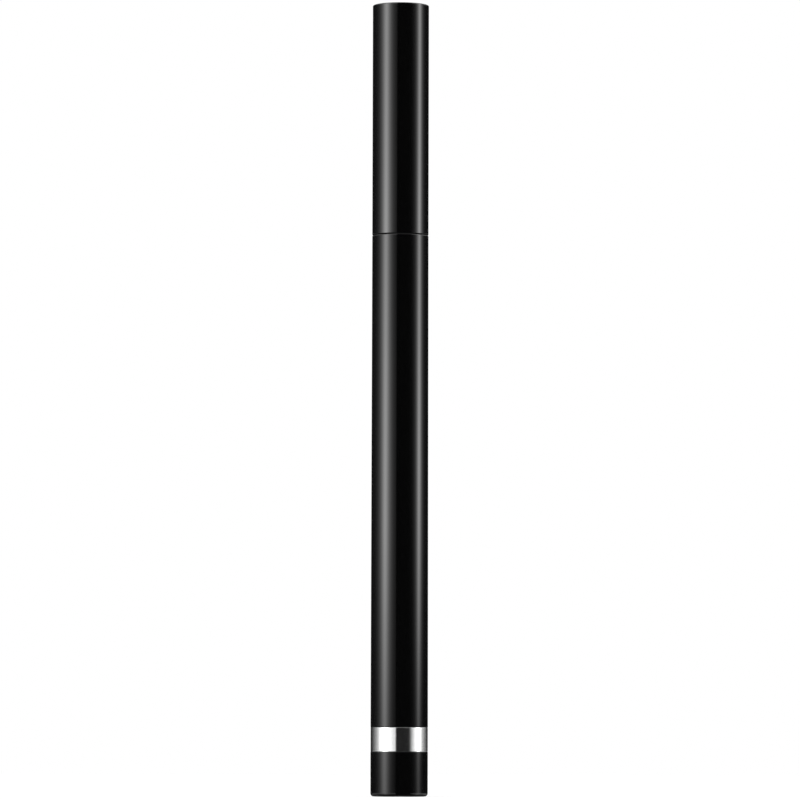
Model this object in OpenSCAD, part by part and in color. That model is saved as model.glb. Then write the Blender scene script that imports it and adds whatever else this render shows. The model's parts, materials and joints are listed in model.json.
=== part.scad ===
// Liquid eyeliner pen with a free-ink reservoir, a finned collector, a fibre nib
// and a pull-off cap that carries a sprung inner cap.
// Sizes are in millimetres. The pen stands on its tail: the axis is Z and the
// origin is the middle of the foot.

/* [Barrel] */
// Diameter of the cap and of the barrel's front shoulder, which are flush
front_d = 9.95; // [8.6:0.05:12]
// How much the barrel's radius grows from the shoulder to the rear end
barrel_swell = 0.075; // [0:0.005:0.3]
// Length from the trim band to the front shoulder
barrel_length = 86.9; // [70:0.05:110]
// Wall around the counterbore that holds the front section
barrel_wall = 0.8; // [0.65:0.05:0.9]
// Step from the counterbore down to the main bore, on the radius
bore_step = 0.15; // [0.1:0.01:0.25]
// Depth of the counterbore from the shoulder
counterbore_depth = 14; // [10:0.5:18]
// Edge radius of the front shoulder
shoulder_round = 0.2; // [0.15:0.05:0.4]
// Edge chamfer at the rear end
barrel_rear_chamfer = 0.1; // [0.05:0.01:0.2]

/* [Trim band] */
// How far the ring sits in from the barrel's rear end, on the radius
band_inset = 0.02; // [0:0.01:0.1]
// Height of the ring
band_height = 4.25; // [3:0.05:7]
// Edge chamfer of the ring
band_chamfer = 0.08; // [0.04:0.01:0.15]

/* [Tail plug] */
// Height of the visible end
tail_height = 7.9; // [6:0.1:12]
// Edge radius at the foot
foot_round = 0.6; // [0.3:0.05:0.9]
// Edge chamfer against the trim band
tail_chamfer = 0.1; // [0.05:0.01:0.2]
// Thickness of the plug's closed floor
tail_floor = 1.6; // [1:0.1:2.5]
// Length of the spigot inside the barrel
spigot_length = 9; // [7:0.5:14]
// Wall of the hollow spigot
spigot_wall = 1.3; // [1:0.05:1.6]
// Lead-in chamfer at the spigot's end
spigot_chamfer = 0.4; // [0.2:0.05:0.6]
// Height of the locking bead above the rear end of the barrel
lock_height = 3; // [2:0.1:4]
// Diameter of the gate dimple in the foot
gate_d = 2.4; // [1.5:0.1:3.5]
// Depth of the gate dimple
gate_depth = 0.3; // [0.1:0.05:0.5]

/* [Beads] */
// How far a locking bead stands out
lock_rise = 0.1; // [0.05:0.01:0.14]
// Radius of a locking bead's round section
lock_round = 0.35; // [0.25:0.05:0.5]
// Relief between a locking bead and its groove
lock_relief = 0.04; // [0.03:0.01:0.08]

/* [Ink tank] */
// Wall of the tank
tank_wall = 0.7; // [0.5:0.05:0.9]
// Thickness of the tank's floor
tank_floor = 1; // [0.8:0.1:1.6]
// Inside radius where the floor meets the wall
tank_fillet = 0.8; // [0.4:0.1:1.2]
// Lead-in chamfer at the tank's mouth
tank_mouth_chamfer = 0.25; // [0.1:0.05:0.35]
// Diameter of the stainless mixing ball
ball_d = 4; // [3:0.1:5]

/* [Collector] */
// Length of the collector's plug inside the tank
plug_length = 4; // [3:0.1:6]
// Thickness of the flange between tank and front section
flange_thickness = 1.2; // [0.8:0.1:2]
// Section diameter of the rubber seal ring
seal_section_d = 0.62; // [0.5:0.01:0.8]
// Room on each side of the seal ring in its groove
seal_groove_room = 0.22; // [0.12:0.01:0.3]
// Thickness of one fin
fin_thickness = 0.35; // [0.25:0.05:0.5]
// Gap between two fins
fin_gap = 0.3; // [0.2:0.05:0.5]
// Wall of the collector's core around the feed bore
feed_wall = 0.79; // [0.6:0.01:1]
// Gap between the fins and the front section around them
fin_clearance = 0.1; // [0.05:0.01:0.2]
// Width of the ink slit
slit_width = 0.2; // [0.15:0.01:0.3]
// How far the ink slit cuts into the fins, beyond the core's wall
slit_bite = 0.5; // [0.3:0.05:0.6]
// Width of the air notch across the fins
notch_width = 1; // [0.6:0.1:1.6]
// Depth of the air notch
notch_depth = 0.8; // [0.5:0.1:1.1]
// Depth of the air notch along the collector's neck
neck_notch_depth = 0.4; // [0.2:0.05:0.6]

/* [Relay core] */
// How much thinner the fibre feed rod is than the nib, on the radius
core_inset = 0.15; // [0.05:0.01:0.3]
// How far the rod stands out of the plug into the tank
core_dip = 2; // [1:0.5:4]
// Running gap around the rod and the nib
feed_gap = 0.03; // [0.02:0.01:0.05]

/* [Front section] */
// Depth of the section inside the barrel
section_depth = 25.4; // [22:0.1:30]
// Wall of the skirt around the collector
section_wall = 0.5; // [0.4:0.05:0.6]
// Depth of the web that closes the skirt, below the shoulder
web_drop = 2.4; // [2:0.1:4]
// Length of the collar that the cap slides on
collar_length = 6; // [5:0.1:8]
// How far the click bead stands out of the collar
click_rise = 0.11; // [0.06:0.01:0.15]
// Radius of the click bead's round section
click_round = 0.45; // [0.3:0.05:0.6]
// Height of the click bead above the shoulder
click_height = 3; // [2.2:0.1:3.6]
// Edge chamfer of the collar
collar_chamfer = 0.15; // [0.05:0.01:0.25]
// Width of the step that the inner cap's lip seats on
seat_width = 0.6; // [0.4:0.05:0.7]
// Length of the land that the inner cap seals around
land_length = 2.4; // [1.6:0.1:3.2]
// Wall between the land and the chamber inside it
chamber_wall = 0.66; // [0.5:0.02:0.8]
// How far the chamber reaches past the top of the collar
chamber_reach = 0.4; // [0.2:0.1:0.8]
// Step from the land in to the foot of the cone
cone_step = 0.1; // [0.05:0.01:0.15]
// Length of the nose ahead of the cone
nose_length = 1; // [0.7:0.1:2]
// Wall of the nose around the nib
nose_wall = 0.42; // [0.35:0.01:0.6]
// Edge radius of the nose
nose_round = 0.25; // [0.1:0.05:0.3]
// Width of a breather groove, from the chamber to the nose
breather_width = 0.3; // [0.2:0.05:0.4]
// Depth of a breather groove
breather_depth = 0.16; // [0.1:0.01:0.2]

/* [Nib] */
// Diameter of the fibre nib
nib_d = 1.9; // [1.6:0.05:2.2]
// Length of nib that shows ahead of the nose
nib_reach = 7; // [5:0.1:9]
// Straight length of nib ahead of the nose
nib_straight = 0.8; // [0.4:0.1:1.5]
// Diameter of the nib's point
nib_point_d = 0.2; // [0.1:0.02:0.4]
// How far the relay core reaches into the nib pipe
core_entry = 3.8; // [2:0.1:5]
// Wall of the pipe that holds the nib
pipe_wall = 0.37; // [0.3:0.01:0.4]
// Thickness of the pipe's flange
pipe_flange = 0.8; // [0.5:0.1:1.2]
// Height of the pipe's front end as a share of the cone's length
pipe_front_share = 0.667; // [0.5:0.001:0.75]

/* [Cap] */
// Length of the cap; the cone under it takes up the difference
cap_length = 40.85; // [34:0.05:50]
// Wall of the cap shell
cap_wall = 0.6; // [0.5:0.05:0.7]
// Thickness of the closed end
cap_top_wall = 0.8; // [0.6:0.05:1.4]
// Edge radius of the closed end
cap_top_round = 0.2; // [0.15:0.05:0.5]
// Edge radius of the mouth
cap_mouth_round = 0.06; // [0.05:0.01:0.2]
// Reveal between the cap's mouth and the barrel's shoulder
cap_reveal = 0.1; // [0.05:0.01:0.3]
// Height of the spring pegs in the cap and on the inner cap
peg_height = 0.8; // [0.5:0.1:1.2]

/* [Cap liner] */
// Wall of the liner
liner_wall = 0.47; // [0.4:0.01:0.55]
// Length of the liner
liner_length = 12; // [9:0.1:15]
// Recess of the liner inside the cap's mouth
liner_recess = 0.4; // [0.2:0.05:0.8]
// Lead-in chamfer at the liner's mouth
liner_chamfer = 0.2; // [0.1:0.05:0.3]
// Depth of the groove that the click bead snaps into
click_groove = 0.08; // [0.05:0.01:0.12]
// Number of vent grooves along the liner's bore
vent_count = 3; // [2:1:6]
// Width of a vent groove
vent_width = 0.7; // [0.4:0.1:1]
// Depth of a vent groove
vent_depth = 0.15; // [0.1:0.01:0.2]

/* [Inner cap] */
// Play between the inner cap and the liner's bore
inner_play = 0.1; // [0.05:0.01:0.15]
// Wall of the inner cap's closed end
inner_top_wall = 0.8; // [0.6:0.1:1.2]
// Room between the nib's point and the inner cap
tip_room = 1.2; // [0.8:0.1:2]
// Thickness of the flange that rests on the liner
inner_flange = 1; // [0.7:0.1:1.6]
// Play between that flange and the cap shell
inner_flange_play = 0.15; // [0.1:0.01:0.25]
// Wall of the inner cap's body at the closed end
inner_wall = 0.7; // [0.5:0.05:0.9]
// Length of the seal bore past the top of the land
seal_overlap = 0.4; // [0.2:0.1:0.8]
// Width of the ledge that shows around the spring
spring_ledge = 0.07; // [0.03:0.01:0.2]

/* [Spring] */
// Length of the spring with the cap on
spring_length = 7.16; // [5:0.02:9]
// Wire diameter
wire_d = 0.36; // [0.25:0.01:0.45]
// Mean diameter of the coils
spring_mean_d = 5.5; // [4.6:0.1:6]
// Number of open turns
spring_turns = 5; // [3:1:6]

/* [Fits] */
// Gap of a push fit, on the radius
push_gap = 0.03; // [0.02:0.01:0.05]
// Gap of a press fit, on the radius
press_gap = 0.02; // [0.01:0.01:0.03]
// Gap of the cap's sliding fit, on the radius
slide_gap = 0.03; // [0.02:0.01:0.05]
// Gap between faces that rest on each other across a joint
rest_gap = 0.02; // [0.01:0.01:0.03]

/* [Hidden] */
$fn = 96;

// Overrun of a cut past the surface that it opens
overrun = 0.5;
// Fewer steps round the wire and the coils, and along a curved outline
wire_sides = 6;
rings_per_turn = 16;
taper_steps = 10;
// Shape of the cone and the nib: 1 is straight, and above 1 is hollow
cone_power = 1.15;
nib_power = 0.9;
breather_count = 3;
// Share of a turn at each end of the spring where the wire lies flat
closed_turn_share = 0.75;

// Heights up the pen, from the foot
z_tail_top = tail_height;
z_band_top = z_tail_top + band_height;
z_shoulder = z_band_top + barrel_length;
z_counterbore = z_shoulder - counterbore_depth;
z_spigot_top = z_band_top + spigot_length;
z_lock = z_band_top + lock_height;
z_section_rear = z_shoulder - section_depth;
z_tank_front = z_section_rear - flange_thickness;
z_plug_rear = z_tank_front - plug_length;
z_seal = z_tank_front - plug_length / 2;
z_core_rear = z_plug_rear - core_dip;
z_tank_inside = z_spigot_top + tank_floor;
z_web = z_shoulder - web_drop;
z_click = z_shoulder + click_height;
z_collar_top = z_shoulder + collar_length;
z_chamber_top = z_collar_top + chamber_reach;
z_land_top = z_collar_top + land_length;
z_cap_mouth = z_shoulder + cap_reveal;
z_cap_top = z_cap_mouth + cap_length;
z_cap_ceiling = z_cap_top - cap_top_wall;
z_inner_top = z_cap_ceiling - spring_length - 2 * rest_gap;
z_inner_ceiling = z_inner_top - inner_top_wall;
z_nib_tip = z_inner_ceiling - tip_room;
z_nose = z_nib_tip - nib_reach;
z_cone_top = z_nose - nose_length;
cone_length = z_cone_top - z_land_top;
z_pipe_rear = z_chamber_top - pipe_flange;
z_pipe_front = z_land_top + cone_length * pipe_front_share;
z_core_front = z_pipe_rear + core_entry;
z_liner_mouth = z_cap_mouth + liner_recess;
z_liner_top = z_liner_mouth + liner_length;
z_liner_lock = (z_liner_mouth + z_liner_top) / 2;
z_inner_mouth = z_collar_top + rest_gap;
z_inner_flange = z_liner_top + rest_gap;

// Radii, from the outside in
front_r = front_d / 2;
rear_r = front_r + barrel_swell;
band_r = rear_r - band_inset;
counterbore_r = front_r - barrel_wall;
bore_r = counterbore_r - bore_step;
spigot_r = bore_r - push_gap;
spigot_bore_r = spigot_r - spigot_wall;
band_bore_r = spigot_r + push_gap;
tank_r = bore_r - push_gap;
tank_bore_r = tank_r - tank_wall;
plug_r = tank_bore_r - push_gap;
seal_outer_r = tank_bore_r - press_gap;
seal_mean_r = seal_outer_r - seal_section_d / 2;
seal_groove_r = seal_mean_r - seal_section_d / 2 - press_gap;
section_r = counterbore_r - press_gap;
section_rear_r = bore_r - push_gap;
section_bore_r = section_rear_r - section_wall;
fin_r = section_bore_r - fin_clearance;
nib_r = nib_d / 2;
nib_bore_r = nib_r + feed_gap;
core_r = nib_r - core_inset;
feed_bore_r = core_r + feed_gap;
fin_root_r = feed_bore_r + feed_wall;
cap_bore_r = front_r - cap_wall;
liner_r = cap_bore_r - push_gap;
liner_bore_r = liner_r - liner_wall;
click_r = liner_bore_r - slide_gap;
collar_r = click_r - click_rise;
land_r = collar_r - seat_width;
chamber_r = land_r - chamber_wall;
cone_foot_r = land_r - cone_step;
nose_r = nib_bore_r + nose_wall;
pipe_r = nib_bore_r + pipe_wall;
pipe_flange_r = chamber_r - push_gap;
neck_r = chamber_r - push_gap;
inner_seal_r = land_r + slide_gap;
inner_skirt_r = liner_bore_r - inner_play;
inner_flange_r = cap_bore_r - inner_flange_play;
spring_mean_r = spring_mean_d / 2;
inner_top_r = spring_mean_r + wire_d / 2 + spring_ledge;
inner_top_bore_r = inner_top_r - inner_wall;
coil_inside_r = (spring_mean_r - wire_d / 2) * cos(180 / rings_per_turn);
peg_r = coil_inside_r - slide_gap;

// Fins that fit between the flange and the web, and the ball's seat in the tank
fin_pitch = fin_thickness + fin_gap;
fin_zone = z_web - z_section_rear - 2 * fin_gap;
fin_count = floor((fin_zone + fin_gap) / fin_pitch);
ball_r = ball_d / 2;
ball_rest_z = z_tank_inside + ball_r + rest_gap;
ball_travel = z_core_rear - rest_gap - ball_r - ball_rest_z;
echo(ball_travel = ball_travel, fin_count = fin_count, pen_length = z_cap_top);

// The sliver between a square outer corner and its round, with the corner at the
// origin and the body towards -X and -Y
module corner_sliver(r) {
    difference() {
        translate([-r, -r]) square(r + overrun);
        translate([-r, -r]) circle(r);
    }
}

// The triangle that a chamfer takes off such a corner
module chamfer_sliver(c) {
    polygon([[-c, overrun], [-c, 0], [0, -c], [overrun, -c], [overrun, overrun]]);
}

// A ring's upright wall, from r0 to r1 and from z0 to z1
module wall(r0, r1, z0, z1) {
    translate([r0, z0]) square([r1 - r0, z1 - z0]);
}

// The round section of a bead that stands `rise` out of a wall at radius r
module bead(r, rise, round_r, z) {
    translate([r + rise - round_r, z]) circle(round_r);
}

// Radius of a taper from r0 at t = 0 to r1 at t = 1
function taper(r0, r1, t, power) = r1 + (r0 - r1) * pow(1 - t, power);

// Outline points up a taper between two heights
function taper_points(r0, r1, z0, z1, power) = [
    for (i = [0 : taper_steps])
        let (t = i / taper_steps) [taper(r0, r1, t, power), z0 + (z1 - z0) * t]
];

module tail_plug() {
    color([0.03, 0.03, 0.032])
    rotate_extrude() difference() {
        union() {
            wall(0, rear_r, 0, z_tail_top);
            wall(0, spigot_r, 0, z_spigot_top);
            intersection() {
                bead(spigot_r, lock_rise, lock_round, z_lock);
                wall(spigot_bore_r, spigot_r + lock_round, z_band_top, z_spigot_top);
            }
        }
        translate([rear_r, 0]) mirror([0, 1]) corner_sliver(foot_round);
        translate([rear_r, z_tail_top]) chamfer_sliver(tail_chamfer);
        translate([spigot_r, z_spigot_top]) chamfer_sliver(spigot_chamfer);
        wall(0, spigot_bore_r, tail_floor, z_spigot_top + overrun);
        wall(0, gate_d / 2, -overrun, gate_depth);
    }
}

module trim_band() {
    color([0.8, 0.81, 0.82])
    rotate_extrude() difference() {
        wall(band_bore_r, band_r, z_tail_top, z_band_top);
        translate([band_r, z_tail_top]) mirror([0, 1]) chamfer_sliver(band_chamfer);
        translate([band_r, z_band_top]) chamfer_sliver(band_chamfer);
    }
}

module barrel_sleeve() {
    color([0.03, 0.03, 0.032])
    rotate_extrude() difference() {
        polygon([
            [bore_r, z_band_top],
            [rear_r, z_band_top],
            [front_r, z_shoulder],
            [bore_r, z_shoulder]
        ]);
        translate([rear_r, z_band_top]) mirror([0, 1]) chamfer_sliver(barrel_rear_chamfer);
        translate([front_r, z_shoulder]) corner_sliver(shoulder_round);
        wall(0, counterbore_r, z_counterbore, z_shoulder + overrun);
        bead(bore_r, lock_rise + lock_relief, lock_round, z_lock);
    }
}

module ink_tank() {
    color([0.86, 0.87, 0.86])
    rotate_extrude() difference() {
        wall(0, tank_r, z_spigot_top, z_tank_front);
        difference() {
            wall(0, tank_bore_r, z_tank_inside, z_tank_front + overrun);
            translate([tank_bore_r, z_tank_inside]) mirror([0, 1]) corner_sliver(tank_fillet);
        }
        translate([tank_bore_r, z_tank_front]) mirror([1, 0]) chamfer_sliver(tank_mouth_chamfer);
    }
}

module mixing_ball() {
    color([0.75, 0.76, 0.77])
    translate([0, 0, ball_rest_z]) sphere(ball_r);
}

module seal_ring() {
    color([0.12, 0.12, 0.12])
    rotate_extrude() translate([seal_mean_r, z_seal]) circle(seal_section_d / 2);
}

module collector() {
    seal_groove_half = seal_section_d / 2 + seal_groove_room;
    color([0.88, 0.88, 0.84])
    difference() {
        rotate_extrude() difference() {
            union() {
                wall(feed_bore_r, plug_r, z_plug_rear, z_tank_front);
                wall(feed_bore_r, tank_r, z_tank_front, z_section_rear);
                wall(feed_bore_r, fin_root_r, z_section_rear, z_web);
                wall(feed_bore_r, neck_r, z_web - fin_gap, z_pipe_rear);
                for (i = [0 : fin_count - 1]) {
                    z_fin = z_section_rear + fin_gap + i * fin_pitch;
                    wall(feed_bore_r, fin_r, z_fin, z_fin + fin_thickness);
                }
            }
            wall(seal_groove_r, plug_r + overrun, z_seal - seal_groove_half, z_seal + seal_groove_half);
            translate([plug_r, z_plug_rear]) mirror([0, 1]) chamfer_sliver(tank_mouth_chamfer);
        }
        translate([-fin_root_r - slit_bite, -slit_width / 2, z_plug_rear - overrun])
            cube([fin_root_r + slit_bite, slit_width, z_pipe_rear - z_plug_rear + 2 * overrun]);
        translate([fin_r - notch_depth, -notch_width / 2, z_section_rear])
            cube([notch_depth + overrun, notch_width, z_web - z_section_rear]);
        translate([neck_r - neck_notch_depth, -notch_width / 2, z_web - fin_gap])
            cube([neck_notch_depth + overrun, notch_width, z_pipe_rear - z_web + fin_gap + overrun]);
    }
}

module relay_core() {
    color([0.92, 0.9, 0.84])
    translate([0, 0, z_core_rear]) cylinder(h = z_core_front - z_core_rear, r = core_r);
}

// The breather grooves round the axis, as cuts from r0 to r1 and from z0 to z1
module breathers(r0, r1, z0, z1) {
    for (i = [0 : breather_count - 1])
        rotate([0, 0, i * 360 / breather_count])
            translate([r0, -breather_width / 2, z0])
                cube([r1 - r0, breather_width, z1 - z0]);
}

module section_outline() {
    polygon(concat(
        [[0, z_section_rear], [section_rear_r, z_section_rear], [section_rear_r, z_counterbore]],
        [[section_r, z_counterbore], [section_r, z_shoulder], [collar_r, z_shoulder]],
        [[collar_r, z_collar_top - collar_chamfer], [collar_r - collar_chamfer, z_collar_top]],
        [[land_r, z_collar_top], [land_r, z_land_top]],
        taper_points(cone_foot_r, nose_r, z_land_top, z_cone_top, cone_power),
        [[nose_r, z_nose], [0, z_nose]]
    ));
}

module front_section() {
    color([0.035, 0.035, 0.037])
    difference() {
        rotate_extrude() difference() {
            union() {
                section_outline();
                bead(collar_r, click_rise, click_round, z_click);
            }
            translate([nose_r, z_nose]) corner_sliver(nose_round);
            wall(0, section_bore_r, z_section_rear - overrun, z_web);
            wall(0, chamber_r, z_web - overrun, z_chamber_top);
            wall(0, pipe_r + push_gap, z_web, z_pipe_front);
            wall(0, nib_bore_r, z_web, z_nose + overrun);
        }
        breathers(0, nib_bore_r + breather_depth, z_pipe_front - overrun, z_nose + overrun);
        breathers(0, pipe_r + push_gap + breather_depth, z_chamber_top - overrun, z_pipe_front);
    }
}

module nib_pipe() {
    color([0.55, 0.56, 0.57])
    difference() {
        rotate_extrude() {
            wall(nib_bore_r, pipe_r, z_pipe_rear, z_pipe_front);
            wall(nib_bore_r, pipe_flange_r, z_pipe_rear, z_chamber_top);
        }
        groove_floor_r = pipe_r - breather_depth / 2;
        breathers(groove_floor_r, pipe_flange_r + overrun, z_pipe_rear - overrun, z_chamber_top + overrun);
    }
}

module nib() {
    color([0.02, 0.02, 0.022])
    rotate_extrude() polygon(concat(
        [[0, z_core_front], [nib_r, z_core_front]],
        taper_points(nib_r, nib_point_d / 2, z_nose + nib_straight, z_nib_tip - nib_point_d / 2, nib_power),
        [[0, z_nib_tip]]
    ));
}

module cap_shell() {
    color([0.03, 0.03, 0.032])
    rotate_extrude() {
        difference() {
            wall(0, front_r, z_cap_mouth, z_cap_top);
            translate([front_r, z_cap_top]) corner_sliver(cap_top_round);
            translate([front_r, z_cap_mouth]) mirror([0, 1]) corner_sliver(cap_mouth_round);
            wall(0, cap_bore_r, z_cap_mouth - overrun, z_cap_ceiling);
            bead(cap_bore_r, lock_rise + lock_relief, lock_round, z_liner_lock);
        }
        wall(0, peg_r, z_cap_ceiling - peg_height, z_cap_top - cap_top_wall / 2);
    }
}

module cap_liner() {
    vent_reach = liner_bore_r + vent_depth;
    color([0.05, 0.05, 0.052])
    difference() {
        rotate_extrude() difference() {
            union() {
                wall(liner_bore_r, liner_r, z_liner_mouth, z_liner_top);
                intersection() {
                    bead(liner_r, lock_rise, lock_round, z_liner_lock);
                    wall(liner_bore_r, liner_r + lock_round, z_liner_mouth, z_liner_top);
                }
            }
            translate([liner_bore_r, z_liner_mouth]) mirror([1, 1]) chamfer_sliver(liner_chamfer);
            bead(liner_bore_r, click_groove, click_round, z_click);
        }
        for (i = [0 : vent_count - 1])
            rotate([0, 0, i * 360 / vent_count])
                translate([0, -vent_width / 2, z_liner_mouth - overrun])
                    cube([vent_reach, vent_width, liner_length + 2 * overrun]);
    }
}

// The inner cap's cavity keeps the sealing bore up to the top of the land
module inner_cavity() {
    z_seal_end = z_land_top + seal_overlap;
    polygon([
        [0, z_inner_mouth - overrun],
        [inner_seal_r, z_inner_mouth - overrun],
        [inner_seal_r, z_seal_end],
        [inner_top_bore_r, z_inner_ceiling],
        [0, z_inner_ceiling]
    ]);
}

module inner_cap() {
    color([0.8, 0.8, 0.79])
    rotate_extrude() difference() {
        union() {
            wall(0, inner_skirt_r, z_inner_mouth, z_inner_flange);
            wall(0, inner_flange_r, z_inner_flange, z_inner_flange + inner_flange);
            polygon([
                [0, z_inner_flange],
                [inner_skirt_r, z_inner_flange],
                [inner_top_r, z_inner_top],
                [0, z_inner_top]
            ]);
            wall(0, peg_r, z_inner_ceiling, z_inner_top + peg_height);
        }
        inner_cavity();
    }
}

// Height of the wire's middle at turn t: the ends lie flat, and the turns between
// them climb at a steady pitch
function coil_z(t, z0, z1) =
    let (
        turns = spring_turns + 2 * closed_turn_share,
        flat_rise = wire_d * closed_turn_share,
        low = z0 + flat_rise,
        high = z1 - flat_rise
    )
    t < closed_turn_share ? z0 + wire_d * t
    : t > turns - closed_turn_share ? z1 - wire_d * (turns - t)
    : low + (high - low) * (t - closed_turn_share) / spring_turns;

module inner_cap_spring() {
    z0 = z_inner_top + rest_gap + wire_d / 2;
    z1 = z_cap_ceiling - rest_gap - wire_d / 2;
    turns = spring_turns + 2 * closed_turn_share;
    rings = ceil(turns * rings_per_turn);
    points = [
        for (i = [0 : rings], k = [0 : wire_sides - 1])
            let (
                t = turns * i / rings,
                side = 360 * k / wire_sides,
                r = spring_mean_r + wire_d / 2 * cos(side),
                z = coil_z(t, z0, z1) + wire_d / 2 * sin(side)
            )
            [r * cos(360 * t), r * sin(360 * t), z]
    ];
    walls = [
        for (i = [0 : rings - 1], k = [0 : wire_sides - 1])
            let (
                next = (k + 1) % wire_sides,
                a = i * wire_sides + k,
                b = i * wire_sides + next,
                c = a + wire_sides,
                d = b + wire_sides
            )
            each [[a, b, c], [b, d, c]]
    ];
    start_cap = [for (k = [1 : wire_sides - 2]) [0, k + 1, k]];
    last = rings * wire_sides;
    end_cap = [for (k = [1 : wire_sides - 2]) [last, last + k, last + k + 1]];
    color([0.7, 0.71, 0.72])
    polyhedron(points = points, faces = concat(walls, start_cap, end_cap));
}

tail_plug();
trim_band();
barrel_sleeve();
ink_tank();
mixing_ball();
seal_ring();
collector();
relay_core();
front_section();
nib_pipe();
nib();
cap_shell();
cap_liner();
inner_cap();
inner_cap_spring();
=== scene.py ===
import json
import math

import bmesh
import bpy
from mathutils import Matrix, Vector


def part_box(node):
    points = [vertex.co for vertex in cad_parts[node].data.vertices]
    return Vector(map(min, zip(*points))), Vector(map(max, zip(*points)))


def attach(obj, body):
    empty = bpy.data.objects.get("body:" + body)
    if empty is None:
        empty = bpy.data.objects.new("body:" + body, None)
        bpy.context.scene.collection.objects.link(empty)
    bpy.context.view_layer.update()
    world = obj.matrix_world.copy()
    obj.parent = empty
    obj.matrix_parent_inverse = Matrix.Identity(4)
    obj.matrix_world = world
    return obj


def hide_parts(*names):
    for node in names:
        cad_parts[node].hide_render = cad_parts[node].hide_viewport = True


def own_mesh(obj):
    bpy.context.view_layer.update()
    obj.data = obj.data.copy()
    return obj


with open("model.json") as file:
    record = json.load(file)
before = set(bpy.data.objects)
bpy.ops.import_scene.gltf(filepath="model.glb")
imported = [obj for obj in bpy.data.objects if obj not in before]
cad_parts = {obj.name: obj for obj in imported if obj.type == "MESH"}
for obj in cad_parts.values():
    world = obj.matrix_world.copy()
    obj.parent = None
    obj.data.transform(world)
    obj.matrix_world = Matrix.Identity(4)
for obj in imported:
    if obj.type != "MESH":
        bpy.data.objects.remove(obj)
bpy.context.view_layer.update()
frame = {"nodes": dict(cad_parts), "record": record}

MM = 0.001

# The photograph's view: from low down, with a long lens. The pen leans a hair to the right.
FRAME_PX = 800
FOCAL_PX = 5670
EYE_DISTANCE = 1000 * MM
EYE_HEIGHT = 10 * MM
AIM_HEIGHT = 69.91 * MM
LEAN_DEG = 0.139
SENSOR_MM = 36
CLIP_NEAR, CLIP_FAR = 10 * MM, 20000 * MM

# The turned meshes: steps round the pen, along a straight wall, in a round, up a taper and over
# a bead, the support points beside a round and the share of a side that it may take, and the
# angles that keep the sides of a groove upright
TURN_STEPS = 160
WALL_STEP = 3 * MM
ROUND_STEPS = 8
SUPPORT = 0.03 * MM
LARGEST_ROUND = 0.45
TAPER_STEPS = 24
BEAD_STEPS = 12
GROOVE_LIP_DEG = 0.15
GROOVE_CLEAR_DEG = 1
SAME_POINT = 1e-7

# Edges of an outline that aren't rounded: a crease, or a point on a curve
SHARP = 0
SMOOTH = -1

# Walls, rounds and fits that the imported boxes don't give
BARREL_FRONT_R = 4.975 * MM
BARREL_WALL = 0.8 * MM
BORE_STEP = 0.15 * MM
COUNTERBORE_DEPTH = 14 * MM
SHOULDER_ROUND = 0.2 * MM
REAR_CHAMFER = 0.1 * MM
BAND_CHAMFER = 0.08 * MM
FOOT_ROUND = 0.6 * MM
TAIL_CHAMFER = 0.1 * MM
TAIL_FLOOR = 1.6 * MM
SPIGOT_WALL = 1.3 * MM
SPIGOT_CHAMFER = 0.4 * MM
GATE_R = 1.2 * MM
GATE_DEPTH = 0.3 * MM
GATE_NUB_R = 0.35 * MM
GATE_NUB_HEIGHT = 0.12 * MM
LOCK_HEIGHT = 3 * MM
LOCK_RISE = 0.1 * MM
LOCK_ROUND = 0.35 * MM
LOCK_RELIEF = 0.04 * MM
SECTION_WALL = 0.5 * MM
WEB_DROP = 2.4 * MM
COLLAR_LENGTH = 6 * MM
COLLAR_CHAMFER = 0.15 * MM
CLICK_RISE = 0.11 * MM
CLICK_ROUND = 0.45 * MM
CLICK_HEIGHT = 3 * MM
CLICK_GROOVE = 0.08 * MM
SEAT_WIDTH = 0.6 * MM
LAND_LENGTH = 2.4 * MM
CHAMBER_WALL = 0.66 * MM
CHAMBER_REACH = 0.4 * MM
CONE_STEP = 0.1 * MM
CONE_POWER = 1.15
NOSE_LENGTH = 1 * MM
NOSE_WALL = 0.42 * MM
NOSE_ROUND = 0.25 * MM
BREATHER_COUNT = 3
BREATHER_WIDTH = 0.3 * MM
BREATHER_DEPTH = 0.16 * MM
FEED_GAP = 0.03 * MM
PIPE_WALL = 0.37 * MM
PIPE_FRONT_SHARE = 0.667
NIB_STRAIGHT = 0.8 * MM
NIB_POINT_R = 0.1 * MM
NIB_POWER = 0.9
NIB_TIP_R, NIB_TIP_DROP = 0.7 * NIB_POINT_R, 0.3 * NIB_POINT_R
FLUTE_DEPTH = 0.004
CAP_WALL = 0.6 * MM
CAP_TOP_WALL = 0.8 * MM
CAP_TOP_ROUND = 0.2 * MM
CAP_MOUTH_ROUND = 0.06 * MM
PEG_HEIGHT = 0.8 * MM
LINER_WALL = 0.47 * MM
LINER_CHAMFER = 0.2 * MM
VENT_COUNT = 3
VENT_WIDTH = 0.7 * MM
VENT_DEPTH = 0.15 * MM
INNER_PLAY = 0.1 * MM
INNER_FLANGE = 1 * MM
INNER_TOP_WALL = 0.8 * MM
INNER_WALL = 0.7 * MM
SEAL_OVERLAP = 0.4 * MM
SPRING_LEDGE = 0.07 * MM
WIRE_R = 0.18 * MM
SPRING_MEAN_R = 2.75 * MM
SPRING_TURNS = 5
CLOSED_TURN_SHARE = 0.75
CAD_COIL_STEPS = 16
COIL_STEPS = 40
WIRE_STEPS = 12
PUSH_GAP = 0.03 * MM
SLIDE_GAP = 0.03 * MM
REST_GAP = 0.02 * MM
EDGE_SOFTNESS = 0.04 * MM
MOULD_SOFTNESS = 0.08 * MM

# Faces that meet at the seam: their half depth in the material, and the roughness added there
SEAM_FACE = 0.006 * MM
SEAM_DULLNESS = 0.6

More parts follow.
